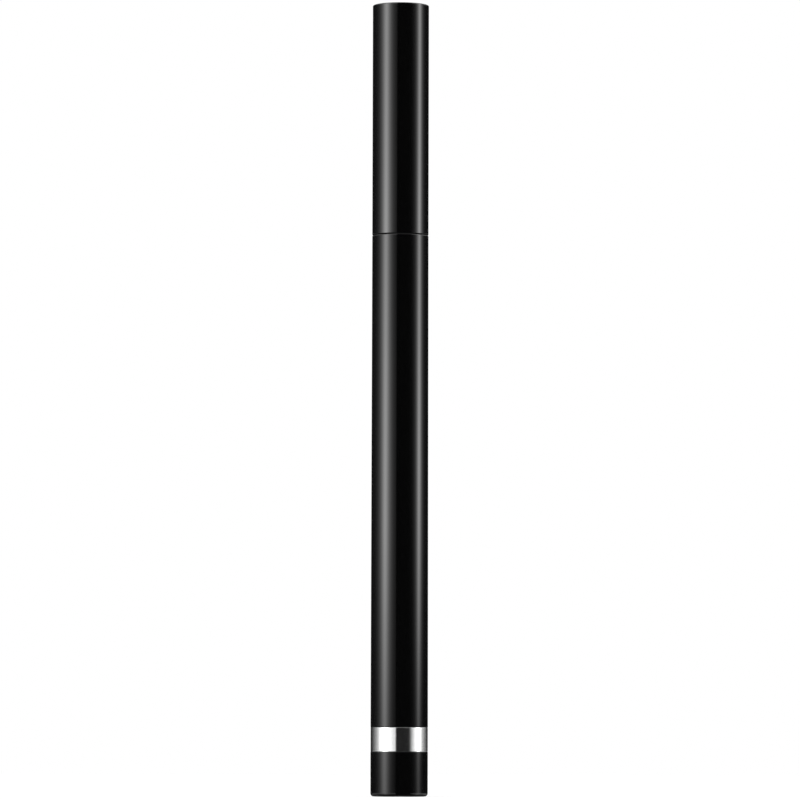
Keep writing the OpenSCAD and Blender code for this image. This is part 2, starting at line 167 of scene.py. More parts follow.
# Flutes on the nib: how many, how strong and at what angle each set starts
FLUTES = ((31, 1.0, 2.1), (43, 0.6, 0.9), (12, 0.4, 0.4))

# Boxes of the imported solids, and what follows from them
TAIL, BAND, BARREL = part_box("tail_plug"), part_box("trim_band"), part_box("barrel_sleeve")
SECTION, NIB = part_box("front_section"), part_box("nib")
CAP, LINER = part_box("cap_shell"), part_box("cap_liner")
INNER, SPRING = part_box("inner_cap"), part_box("inner_cap_spring")
Z_SHOULDER = BARREL[1].z
Z_COUNTERBORE = Z_SHOULDER - COUNTERBORE_DEPTH
Z_LOCK = BAND[1].z + LOCK_HEIGHT
Z_CLICK = Z_SHOULDER + CLICK_HEIGHT
Z_COLLAR_TOP = Z_SHOULDER + COLLAR_LENGTH
Z_LAND_TOP = Z_COLLAR_TOP + LAND_LENGTH
Z_LINER_LOCK = (LINER[0].z + LINER[1].z) / 2
Z_CAP_CEILING = CAP[1].z - CAP_TOP_WALL
COUNTERBORE_R = BARREL_FRONT_R - BARREL_WALL
BORE_R = COUNTERBORE_R - BORE_STEP
SPIGOT_R = BORE_R - PUSH_GAP
CAP_BORE_R = BARREL_FRONT_R - CAP_WALL
LINER_R = CAP_BORE_R - PUSH_GAP
LINER_BORE_R = LINER_R - LINER_WALL
COLLAR_R = LINER_BORE_R - SLIDE_GAP - CLICK_RISE
LAND_R = COLLAR_R - SEAT_WIDTH
NIB_BORE_R = NIB[1].x + FEED_GAP
PEG_R = (SPRING_MEAN_R - WIRE_R) * math.cos(math.pi / CAD_COIL_STEPS) - SLIDE_GAP


# Outlines and turned meshes

def fillet(before, corner, after, radius):
    """Points of the arc that rounds a corner of an outline, with support points outside it."""
    a, p, b = Vector(before), Vector(corner), Vector(after)
    u, v = (a - p).normalized(), (b - p).normalized()
    half = u.angle(v) / 2
    shorter_side = min((a - p).length, (b - p).length)
    reach = min(radius / math.tan(half), LARGEST_ROUND * shorter_side)
    radius = reach * math.tan(half)
    centre = p + (u + v).normalized() * (radius / math.sin(half))
    start, end = p + u * reach - centre, p + v * reach - centre
    sweep = start.angle_signed(end)
    points = [p + u * (reach + SUPPORT)] if (a - p).length > 2 * (reach + SUPPORT) else []
    for i in range(ROUND_STEPS + 1):
        angle = -sweep * i / ROUND_STEPS
        c, s = math.cos(angle), math.sin(angle)
        points.append(centre + Vector((start.x * c - start.y * s, start.x * s + start.y * c)))
    if (b - p).length > 2 * (reach + SUPPORT):
        points.append(p + v * (reach + SUPPORT))
    return points


def rounded(corners):
    """A closed outline of (radius, height, sharp) points from (radius, height, edge) corners.

    The edge is the radius of its round, SHARP or SMOOTH. Long walls get extra points.
    """
    outline = []
    n = len(corners)
    for i, (r, z, edge) in enumerate(corners):
        before, after = corners[i - 1][:2], corners[(i + 1) % n][:2]
        if edge > 0:
            outline += [(q.x, q.y, False) for q in fillet(before, (r, z), after, edge)]
        else:
            outline.append((r, z, edge == SHARP))
    dense = []
    for i, (r, z, sharp) in enumerate(outline):
        r1, z1, _ = outline[(i + 1) % len(outline)]
        dense.append((r, z, sharp))
        pieces = math.ceil(math.hypot(r1 - r, z1 - z) / WALL_STEP)
        dense += [
            (r + (r1 - r) * k / pieces, z + (z1 - z) * k / pieces, False) for k in range(1, pieces)]
    return dense


def bead(wall_r, rise, z, radius, upward=True):
    """Corners of a bead on an upright wall at wall_r, or of the groove that takes it."""
    centre = wall_r + rise - radius
    half = math.acos((radius - rise) / radius)
    angles = [half * (2 * k / BEAD_STEPS - 1) for k in range(BEAD_STEPS + 1)]
    arc = [(centre + radius * math.cos(a), z + radius * math.sin(a), SMOOTH) for a in angles]
    arc[0], arc[-1] = (wall_r, arc[0][1], SHARP), (wall_r, arc[-1][1], SHARP)
    return arc if upward else arc[::-1]


def taper(r0, r1, z0, z1, power):
    """Corners up a curved taper, both ends included."""
    shares = [k / TAPER_STEPS for k in range(TAPER_STEPS + 1)]
    return [(r1 + (r0 - r1) * (1 - t) ** power, z0 + (z1 - z0) * t, SMOOTH) for t in shares]


def even_angles(steps=TURN_STEPS):
    return [2 * math.pi * k / steps for k in range(steps)]


def in_groove(angle, count, width, r):
    """Whether an angle lies in one of count even grooves of that width in a wall at r."""
    return abs(math.remainder(angle, 2 * math.pi / count)) < width / 2 / r


def groove_angles(count, width, r):
    """Angles round the axis, with close pairs that keep the sides of the grooves upright."""
    half, lip = width / 2 / r, math.radians(GROOVE_LIP_DEG)
    sides = [
        (2 * math.pi * i / count + side * half + out * lip) % (2 * math.pi)
        for i in range(count) for side in (-1, 1) for out in (-1, 1)
    ]
    clear = math.radians(GROOVE_CLEAR_DEG)
    return sorted(sides + [
        angle for angle in even_angles()
        if all(abs(math.remainder(angle - side, 2 * math.pi)) > clear for side in sides)
    ])


def turned(name, outline, material, angles=None, relief=None):
    """The solid of revolution about Z of a closed outline. relief(r, z, angle) changes a radius."""
    angles = angles or even_angles()
    steps = len(angles)
    mesh = bmesh.new()
    rings = []
    for r, z, _ in outline:
        if r < SAME_POINT:
            rings.append([mesh.verts.new((0, 0, z))] * steps)
            continue
        radii = [relief(r, z, a) if relief else r for a in angles]
        rings.append([
            mesh.verts.new((q * math.cos(a), q * math.sin(a), z)) for q, a in zip(radii, angles)])
    for i, ring in enumerate(rings):
        other = rings[(i + 1) % len(rings)]
        for k in range(steps):
            corners = []
            for vert in (ring[k], ring[(k + 1) % steps], other[(k + 1) % steps], other[k]):
                if vert not in corners:
                    corners.append(vert)
            if len(corners) > 2:
                mesh.faces.new(corners).smooth = True
    bmesh.ops.recalc_face_normals(mesh, faces=mesh.faces)
    for ring, (r, _, sharp) in zip(rings, outline):
        if sharp and r >= SAME_POINT:
            crease(mesh, ring)
    # A relief can bring neighbouring points together
    bmesh.ops.remove_doubles(mesh, verts=mesh.verts, dist=SAME_POINT)
    return finished(name, mesh, material)


def crease(mesh, ring):
    """Shade the edges round a ring of points as sharp."""
    for vert, following in zip(ring, ring[1:] + ring[:1]):
        mesh.edges.get((vert, following)).smooth = False


def finished(name, mesh, material):
    """An object from a finished bmesh, with its material."""
    data = bpy.data.meshes.new(name)
    mesh.to_mesh(data)
    mesh.free()
    data.materials.append(material)
    piece = bpy.data.objects.new(name, data)
    bpy.context.scene.collection.objects.link(piece)
    return piece


def dress(piece, node, body):
    """The piece stands for a CAD node, on its body and with its material slot."""
    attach(piece, body)
    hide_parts(node)
    return piece


# Node trees

class Tree:
    """Short forms for building a shader tree."""

    def __init__(self, node_tree):
        self.nodes, self.links = node_tree.nodes, node_tree.links
        self.nodes.clear()

    def add(self, kind, **settings):
        node = self.nodes.new(kind)
        for key, value in settings.items():
            setattr(node, key, value)
        return node

    def feed(self, socket, value):
        if isinstance(value, bpy.types.NodeSocket):
            self.links.new(value, socket)
        else:
            socket.default_value = value

    def math(self, operation, *values):
        node = self.add("ShaderNodeMath", operation=operation)
        for socket, value in zip(node.inputs, values):
            self.feed(socket, value)
        return node.outputs[0]

    def product(self, *factors):
        total = factors[0]
        for factor in factors[1:]:
            total = self.math("MULTIPLY", total, factor)
        return total

    def total(self, *parts):
        result = parts[0]
        for part in parts[1:]:
            result = self.math("ADD", result, part)
        return result

    def step(self, value, low, high, at_low=0.0, at_high=1.0):
        """at_low below low, at_high above high, smooth between."""
        node = self.add("ShaderNodeMapRange", interpolation_type="SMOOTHSTEP")
        self.feed(node.inputs["Value"], value)
        node.inputs["From Min"].default_value = low
        node.inputs["From Max"].default_value = high
        node.inputs["To Min"].default_value = at_low
        node.inputs["To Max"].default_value = at_high
        return node.outputs[0]

    def span(self, value, low, high):
        """A linear map of 0..1 to low..high."""
        node = self.add("ShaderNodeMapRange")
        self.feed(node.inputs["Value"], value)
        node.inputs["To Min"].default_value = low
        node.inputs["To Max"].default_value = high
        return node.outputs[0]

    def soft_strip(self, azimuth, centre, width):
        """The profile across a strip light: round in the middle, with long soft wings."""
        away = self.math("DIVIDE", self.math("SUBTRACT", azimuth, centre), width)
        return self.math("DIVIDE", 1.0, self.math("COSH", away))

    def noise(self, scale, detail=2, stretch=(1, 1, 1), roughness=0.5):
        place = self.add("ShaderNodeTexCoord").outputs["Object"]
        mapping = self.add("ShaderNodeMapping")
        mapping.inputs["Scale"].default_value = stretch
        self.links.new(place, mapping.inputs["Vector"])
        node = self.add("ShaderNodeTexNoise")
        self.links.new(mapping.outputs[0], node.inputs["Vector"])
        node.inputs["Scale"].default_value = scale
        node.inputs["Detail"].default_value = detail
        node.inputs["Roughness"].default_value = roughness
        return node.outputs["Fac"]

    def bump(self, height, distance, normal=None):
        node = self.add("ShaderNodeBump")
        node.inputs["Distance"].default_value = distance
        self.links.new(height, node.inputs["Height"])
        if normal is not None:
            self.links.new(normal, node.inputs["Normal"])
        return node.outputs[0]

    def height(self):
        """Height up the pen."""
        split = self.add("ShaderNodeSeparateXYZ")
        self.links.new(self.add("ShaderNodeTexCoord").outputs["Object"], split.inputs[0])
        return split.outputs[2]

    def blend(self, share, low, high):
        """A colour between two colours."""
        node = self.add("ShaderNodeMix", data_type="RGBA")
        self.feed(node.inputs["Factor"], share)
        node.inputs[6].default_value = (*low, 1)
        node.inputs[7].default_value = (*high, 1)
        return node.outputs[2]


def material(name, build):
    """A material whose surface is one Principled shader, finished by build(tree, shader)."""
    made = bpy.data.materials.new(name)
    made.use_nodes = True
    tree = Tree(made.node_tree)
    shader = tree.add("ShaderNodeBsdfPrincipled")
    out = tree.add("ShaderNodeOutputMaterial")
    tree.links.new(shader.outputs[0], out.inputs["Surface"])
    build(tree, shader)
    return made


def gloss_black(ior, roughness_low, roughness_high, z_seam_face):
    """Polished black plastic: a faint moulded waviness, and handling haze in its gloss.

    The face that meets the other part at the seam is dull, so no light runs through the gap.
    """
    def build(tree, shader):
        mottling = tree.noise(900, detail=3)
        black = tree.blend(mottling, (0.0013, 0.0013, 0.0014), (0.0021, 0.0021, 0.0022))
        tree.feed(shader.inputs["Base Color"], black)
        smears = tree.noise(260, detail=4, stretch=(1, 1, 0.25))
        haze = tree.span(smears, roughness_low, roughness_high)
        height = tree.height()
        seam_face = tree.product(
            tree.math("GREATER_THAN", height, z_seam_face - SEAM_FACE),
            tree.math("LESS_THAN", height, z_seam_face + SEAM_FACE))
        dullness = tree.product(seam_face, SEAM_DULLNESS)
        tree.feed(shader.inputs["Roughness"], tree.total(haze, dullness))
        shader.inputs["IOR"].default_value = ior
        waves = tree.noise(320, detail=1, stretch=(1, 1, 0.3))
        waviness = tree.bump(waves, 0.0006 * MM)
        grain = tree.bump(tree.noise(6000, detail=2), 0.00006 * MM, normal=waviness)
        tree.feed(shader.inputs["Normal"], grain)
    return build


def bright_metal(tree, shader):
    """Turned and anodised aluminium: bright, with very fine lines round the ring."""
    lines = tree.noise(400, detail=6, stretch=(0.5, 0.5, 60), roughness=0.7)
    silver = tree.blend(lines, (0.9, 0.905, 0.9), (0.96, 0.965, 0.96))
    tree.feed(shader.inputs["Base Color"], silver)
    shader.inputs["Metallic"].default_value = 1
    tree.feed(shader.inputs["Roughness"], tree.span(lines, 0.17, 0.22))
    shader.inputs["Anisotropic"].default_value = 0.97
    shader.inputs["Anisotropic Rotation"].default_value = 0.25


def moulded(base, dark, roughness, grain=0.0015, subsurface=0.0):
    """As-moulded plastic: a fine spark-eroded grain, and a slight unevenness of colour."""
    def build(tree, shader):
        cloud = tree.noise(350, detail=3)
        tree.feed(shader.inputs["Base Color"], tree.blend(cloud, dark, base))
        fine = tree.noise(3000, detail=3)
        tree.feed(shader.inputs["Roughness"], tree.span(fine, roughness - 0.05, roughness + 0.05))
        tree.feed(shader.inputs["Normal"], tree.bump(fine, grain * MM))
        if subsurface:
            shader.inputs["Subsurface Weight"].default_value = subsurface
            shader.inputs["Subsurface Radius"].default_value = (0.6 * MM, 0.6 * MM, 0.55 * MM)
            shader.inputs["Subsurface Scale"].default_value = 1
    return build


def fibre(wet, dry, strand_scale, depth):
    """Bonded fibres that run along the pen."""
    def build(tree, shader):
        strands = tree.noise(strand_scale, detail=4, stretch=(1, 1, 0.06), roughness=0.65)
        tree.feed(shader.inputs["Base Color"], tree.blend(strands, wet, dry))
        tree.feed(shader.inputs["Roughness"], tree.span(strands, 0.5, 0.85))
        shader.inputs["Sheen Weight"].default_value = 0.15
        tree.feed(shader.inputs["Normal"], tree.bump(strands, depth * MM))
    return build


def steel(tree, shader):
    """Drawn stainless wire."""
    draw = tree.noise(2500, detail=3, roughness=0.6)
    grey = tree.blend(draw, (0.56, 0.57, 0.58), (0.72, 0.73, 0.74))
    tree.feed(shader.inputs["Base Color"], grey)
    shader.inputs["Metallic"].default_value = 1
    tree.feed(shader.inputs["Roughness"], tree.span(draw, 0.18, 0.32))
    tree.feed(shader.inputs["Normal"], tree.bump(draw, 0.0006 * MM))


def rubber(tree, shader):
    """Matt black rubber with a fine bloom."""
    bloom = tree.noise(1800, detail=4)
    black = tree.blend(bloom, (0.012, 0.012, 0.012), (0.03, 0.03, 0.03))
    tree.feed(shader.inputs["Base Color"], black)
    tree.feed(shader.inputs["Roughness"], tree.span(bloom, 0.55, 0.75))
    tree.feed(shader.inputs["Normal"], tree.bump(bloom, 0.002 * MM))


MATERIALS = {slot: material(slot, build) for slot, build in {
    "barrel_plastic": gloss_black(1.475, 0.07, 0.1, Z_SHOULDER),
    "cap_plastic": gloss_black(1.56, 0.06, 0.085, CAP[0].z),
    "trim_metal": bright_metal,
    "section_plastic": moulded((0.012, 0.012, 0.013), (0.008, 0.008, 0.009), 0.24),
    "liner_plastic": moulded((0.02, 0.02, 0.021), (0.014, 0.014, 0.015), 0.42),
    "inner_cap_plastic": moulded(
        (0.8, 0.8, 0.78), (0.74, 0.74, 0.72), 0.34, grain=0.002, subsurface=0.35),
    "tank_plastic": moulded((0.78, 0.79, 0.78), (0.7, 0.71, 0.7), 0.3, subsurface=0.3),
    "collector_plastic": moulded((0.8, 0.8, 0.75), (0.72, 0.72, 0.68), 0.45),
    "pipe_plastic": moulded((0.5, 0.51, 0.52), (0.42, 0.43, 0.44), 0.38),
    "feed_fibre": fibre((0.5, 0.48, 0.44), (0.86, 0.84, 0.79), 5000, 0.012),
    "nib_fibre": fibre((0.004, 0.004, 0.005), (0.018, 0.018, 0.02), 5200, 0.01),
    "seal_rubber": rubber,
    "stainless": steel,
}.items()}


# The pieces

def cap_shell():
    r, mouth, top = BARREL_FRONT_R, CAP[0].z, CAP[1].z
    outline = rounded([
        (0, top, SMOOTH),
        (r, top, CAP_TOP_ROUND),
        (r, mouth, CAP_MOUTH_ROUND),
        (CAP_BORE_R, mouth, EDGE_SOFTNESS),
        *bead(CAP_BORE_R, LOCK_RISE + LOCK_RELIEF, Z_LINER_LOCK, LOCK_ROUND),
        (CAP_BORE_R, Z_CAP_CEILING, MOULD_SOFTNESS),
        (PEG_R, Z_CAP_CEILING, EDGE_SOFTNESS),
        (PEG_R, Z_CAP_CEILING - PEG_HEIGHT, MOULD_SOFTNESS),
        (0, Z_CAP_CEILING - PEG_HEIGHT, SMOOTH),
    ])
    piece = turned("cap_shell_turned", outline, MATERIALS["cap_plastic"])
    dress(piece, "cap_shell", "cap")


def cap_liner():
    mouth, top = LINER[0].z, LINER[1].z
    outline = rounded([
        (LINER_R, mouth, EDGE_SOFTNESS),
        *bead(LINER_R, LOCK_RISE, Z_LINER_LOCK, LOCK_ROUND),
        (LINER_R, top, EDGE_SOFTNESS),
        (LINER_BORE_R, top, EDGE_SOFTNESS),
        *bead(LINER_BORE_R, CLICK_GROOVE, Z_CLICK, CLICK_ROUND, upward=False),
        (LINER_BORE_R, mouth + LINER_CHAMFER, EDGE_SOFTNESS),
        (LINER_BORE_R + LINER_CHAMFER, mouth, EDGE_SOFTNESS),
    ])

    def vents(r, z, angle):
        if in_groove(angle, VENT_COUNT, VENT_WIDTH, LINER_BORE_R):
            return max(r, LINER_BORE_R + VENT_DEPTH)
        return r

    angles = groove_angles(VENT_COUNT, VENT_WIDTH, LINER_BORE_R)
    piece = turned("cap_liner_turned", outline, MATERIALS["liner_plastic"], angles, vents)
    dress(piece, "cap_liner", "cap")


def inner_cap():
    mouth, peg_top, flange_r = INNER[0].z, INNER[1].z, INNER[1].x
    skirt_r = LINER_BORE_R - INNER_PLAY
    seal_r = LAND_R + SLIDE_GAP
    top_r = SPRING_MEAN_R + WIRE_R + SPRING_LEDGE
    z_flange = LINER[1].z + REST_GAP
    z_flange_top = z_flange + INNER_FLANGE
    z_top = peg_top - PEG_HEIGHT
    z_ceiling = z_top - INNER_TOP_WALL
    body_r = skirt_r + (top_r - skirt_r) * INNER_FLANGE / (z_top - z_flange)
    outline = rounded([
        (skirt_r, mouth, MOULD_SOFTNESS),
        (skirt_r, z_flange, EDGE_SOFTNESS),
        (flange_r, z_flange, MOULD_SOFTNESS),
        (flange_r, z_flange_top, MOULD_SOFTNESS),
        (body_r, z_flange_top, MOULD_SOFTNESS),
        (top_r, z_top, MOULD_SOFTNESS),
        (PEG_R, z_top, EDGE_SOFTNESS),
        (PEG_R, peg_top, MOULD_SOFTNESS),
        (0, peg_top, SMOOTH),
        (0, z_ceiling, SMOOTH),
        (top_r - INNER_WALL, z_ceiling, MOULD_SOFTNESS),
        (seal_r, Z_LAND_TOP + SEAL_OVERLAP, MOULD_SOFTNESS),
        (seal_r, mouth, MOULD_SOFTNESS),
    ])
    piece = turned("inner_cap_turned", outline, MATERIALS["inner_cap_plastic"])
    dress(piece, "inner_cap", "inner_cap")


def coil_height(turn, turns, low, high):
    """Height of the wire's middle. The ends lie flat, and between them it climbs steadily."""
    flat_rise = 2 * WIRE_R * CLOSED_TURN_SHARE
    if turn < CLOSED_TURN_SHARE:
        return low + 2 * WIRE_R * turn
    if turn > turns - CLOSED_TURN_SHARE:
        return high - 2 * WIRE_R * (turns - turn)
    climb = (high - low - 2 * flat_rise) * (turn - CLOSED_TURN_SHARE) / SPRING_TURNS
    return low + flat_rise + climb


def inner_cap_spring():
    low, high = SPRING[0].z + WIRE_R, SPRING[1].z - WIRE_R
    turns = SPRING_TURNS + 2 * CLOSED_TURN_SHARE
    rings = round(turns * COIL_STEPS)
    mesh = bmesh.new()
    loops = []
    for i in range(rings + 1):
        turn = turns * i / rings
        along, z = 2 * math.pi * turn, coil_height(turn, turns, low, high)
        loop = []
        for k in range(WIRE_STEPS):
            side = 2 * math.pi * k / WIRE_STEPS
            r, up = SPRING_MEAN_R + WIRE_R * math.cos(side), WIRE_R * math.sin(side)
            loop.append(mesh.verts.new((r * math.cos(along), r * math.sin(along), z + up)))
        loops.append(loop)
    for loop, following in zip(loops, loops[1:]):
        for k in range(WIRE_STEPS):
            n = (k + 1) % WIRE_STEPS
            mesh.faces.new((loop[k], loop[n], following[n], following[k])).smooth = True
    for end in (loops[0], loops[-1]):
        mesh.faces.new(end)
        crease(mesh, end)
    bmesh.ops.recalc_face_normals(mesh, faces=mesh.faces)
    piece = finished("inner_cap_spring_wound", mesh, MATERIALS["stainless"])
    dress(piece, "inner_cap_spring", "cap")
    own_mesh(piece)


def barrel_sleeve():
    outline = rounded([
        (BARREL_FRONT_R, Z_SHOULDER, SHOULDER_ROUND),
        (BARREL[1].x, BARREL[0].z, REAR_CHAMFER),
        (BORE_R, BARREL[0].z, EDGE_SOFTNESS),
        *bead(BORE_R, LOCK_RISE + LOCK_RELIEF, Z_LOCK, LOCK_ROUND),
        (BORE_R, Z_COUNTERBORE, SHARP),
        (COUNTERBORE_R, Z_COUNTERBORE, SHARP),
        (COUNTERBORE_R, Z_SHOULDER, EDGE_SOFTNESS),
    ])
    piece = turned("barrel_sleeve_turned", outline, MATERIALS["barrel_plastic"])
    dress(piece, "barrel_sleeve", "barrel")


def trim_band():
    r, low, high = BAND[1].x, BAND[0].z, BAND[1].z
    outline = rounded([
        (r, high, BAND_CHAMFER),
        (r, low, BAND_CHAMFER),
        (BORE_R, low, SHARP),
        (BORE_R, high, SHARP),
    ])
    piece = turned("trim_band_turned", outline, MATERIALS["trim_metal"])
    dress(piece, "trim_band", "barrel")


def tail_plug():
    seat, top = BAND[0].z, TAIL[1].z
    hollow_r = SPIGOT_R - SPIGOT_WALL
    outline = rounded([
        (0, GATE_DEPTH - GATE_NUB_HEIGHT, SMOOTH),
        (GATE_NUB_R, GATE_DEPTH - GATE_NUB_HEIGHT, EDGE_SOFTNESS),
        (GATE_NUB_R, GATE_DEPTH, SHARP),
        (GATE_R, GATE_DEPTH, SHARP),
        (GATE_R, 0, EDGE_SOFTNESS),
        (TAIL[1].x, 0, FOOT_ROUND),
        (TAIL[1].x, seat, TAIL_CHAMFER),
        (SPIGOT_R, seat, SHARP),
        *bead(SPIGOT_R, LOCK_RISE, Z_LOCK, LOCK_ROUND),
        (SPIGOT_R, top - SPIGOT_CHAMFER, EDGE_SOFTNESS),
        (SPIGOT_R - SPIGOT_CHAMFER, top, EDGE_SOFTNESS),
        (hollow_r, top, EDGE_SOFTNESS),
        (hollow_r, TAIL_FLOOR, MOULD_SOFTNESS),
        (0, TAIL_FLOOR, SMOOTH),
    ])
    piece = turned("tail_plug_turned", outline, MATERIALS["barrel_plastic"])
    dress(piece, "tail_plug", "barrel")


def front_section():
    rear, nose, skirt_r = SECTION[0].z, SECTION[1].z, SECTION[1].x
    rear_r = BORE_R - PUSH_GAP
    chamber_r = LAND_R - CHAMBER_WALL
    nose_r = NIB_BORE_R + NOSE_WALL
    pipe_seat_r = NIB_BORE_R + PIPE_WALL + PUSH_GAP
    z_web = Z_SHOULDER - WEB_DROP
    z_chamber_top = Z_COLLAR_TOP + CHAMBER_REACH
    z_cone_top = nose - NOSE_LENGTH
    z_pipe_front = Z_LAND_TOP + (z_cone_top - Z_LAND_TOP) * PIPE_FRONT_SHARE
    cone = taper(LAND_R - CONE_STEP, nose_r, Z_LAND_TOP, z_cone_top, CONE_POWER)
    outline = rounded([
        (rear_r, rear, EDGE_SOFTNESS),
        (rear_r, Z_COUNTERBORE, SHARP),
        (skirt_r, Z_COUNTERBORE, EDGE_SOFTNESS),
        (skirt_r, Z_SHOULDER, MOULD_SOFTNESS),
        (COLLAR_R, Z_SHOULDER, MOULD_SOFTNESS),
        *bead(COLLAR_R, CLICK_RISE, Z_CLICK, CLICK_ROUND),
        (COLLAR_R, Z_COLLAR_TOP - COLLAR_CHAMFER, EDGE_SOFTNESS),
        (COLLAR_R - COLLAR_CHAMFER, Z_COLLAR_TOP, EDGE_SOFTNESS),
        (LAND_R, Z_COLLAR_TOP, MOULD_SOFTNESS),
        (LAND_R, Z_LAND_TOP, EDGE_SOFTNESS),
        (LAND_R - CONE_STEP, Z_LAND_TOP, EDGE_SOFTNESS),
        *cone[1:],
        (nose_r, nose, NOSE_ROUND),
        (NIB_BORE_R, nose, EDGE_SOFTNESS),
        (NIB_BORE_R, z_pipe_front, SHARP),
        (pipe_seat_r, z_pipe_front, SHARP),
        (pipe_seat_r, z_chamber_top, SHARP),
        (chamber_r, z_chamber_top, SHARP),
        (chamber_r, z_web, SHARP),
        (rear_r - SECTION_WALL, z_web, SHARP),
        (rear_r - SECTION_WALL, rear, EDGE_SOFTNESS),
    ])

    def breathers(r, z, angle):
        if z > z_pipe_front and in_groove(angle, BREATHER_COUNT, BREATHER_WIDTH, NIB_BORE_R):
            return max(r, NIB_BORE_R + BREATHER_DEPTH)
        return r

    angles = groove_angles(BREATHER_COUNT, BREATHER_WIDTH, NIB_BORE_R)
    piece = turned("front_section_turned", outline, MATERIALS["section_plastic"], angles, breathers)
    dress(piece, "front_section", "barrel")


def nib():
    r, rear, tip = NIB[1].x, NIB[0].z, NIB[1].z
    outline = rounded([
        (0, rear, SMOOTH),
        (r, rear, EDGE_SOFTNESS),
        *taper(r, NIB_POINT_R, SECTION[1].z + NIB_STRAIGHT, tip - NIB_POINT_R, NIB_POWER),
        (NIB_TIP_R, tip - NIB_TIP_DROP, SMOOTH),
        (0, tip, SMOOTH),
    ])

    def flutes(r, z, angle):
        """Shallow flutes, where the bonded fibres were ground to a point."""
        ridges = sum(weight * math.sin(count * angle + start) for count, weight, start in FLUTES)
        return r * (1 - FLUTE_DEPTH * (sum(weight for _, weight, _ in FLUTES) - ridges))

    piece = turned("nib_ground", outline, MATERIALS["nib_fibre"], relief=flutes)
    dress(piece, "nib", "barrel")


for make in (
        cap_shell, cap_liner, inner_cap, inner_cap_spring,
        barrel_sleeve, trim_band, tail_plug, front_section, nib):
    make()

# The CAD nodes that stay show their own solids, with their slots' finishes
SLOTS = {row["node"]: row["material_slot"] for row in frame["record"]["subparts"]}
for node_name, node_object in frame["nodes"].items():
    node_object.data.materials.clear()
    node_object.data.materials.append(MATERIALS[SLOTS[node_name]])
    for polygon in node_object.data.polygons:
        polygon.material_index = 0


# The studio

# Two upright strip lights, one on each side: azimuth and width in degrees. The camera is at
# azimuth 0, and looks towards 180.
LEFT_STRIP = (-61, 11)
RIGHT_STRIP = (84.2, 6.95)

# Ramps: two angles in degrees, and the strength up to the first and from the second
LEFT_BASE, LEFT_RISE = (-0.2, 3.8, 2.4, 10.0), (3, 8.6, 1.0, 0.6)
RIGHT_BASE, RIGHT_RISE = (0.6, 4, 0.85, 9.0), (2.3, 8.6, 1.0, 0.56)
STRIP_MIRRORED = (-3, -0.7, 0.25, 1.0)
FLAG = (-16.5, -12.5, 1.0, 0.0)
WIDE_ABOVE = (8.5, 12.5, 0.0, 1.0)
WIDE_BELOW, WIDE_BELOW_END = (-6.5, -2, 0.7, 0.0), (-24, -14, 0.0, 1.0)
WIDE_LEFT, WIDE_BY_FLAG = (-165, -88, 0.0, 1.5), (-50, -20, 0.0, 0.9)
WIDE_RIGHT, WIDE_RIGHT_END = (40, 62, 0.0, 1.0), (95, 172, 2.3, 0.0)
LIGHT_ENDS = (26, 48, 1.0, 0.0)
IN_FRONT = (70, 115, 1.0, 0.0)
OVERHEAD, OVERHEAD_TOP = (26, 44, 0.0, 1.0), (64, 78, 1.0, 0.2)
OVERHEAD_BEHIND, OVERHEAD_MORE_IN_FRONT, OVERHEAD_SHIFT_DEG = 1.1, 0.9, 16
TABLE, TABLE_SHIFT_DEG = (-40, -15, 0.25, 0.0), 30
DARK_ROOM = (100, 130, 0.005, 0.02)
MIRRORED_BACKDROP = (173, 175, 0.0, 1.0)
MIRROR_LINE_DEG = -1

FLOOR_SIZE = 600 * MM
FLOOR_GLOW, FLOOR_GLOW_SHARE = 1.2, 0.5


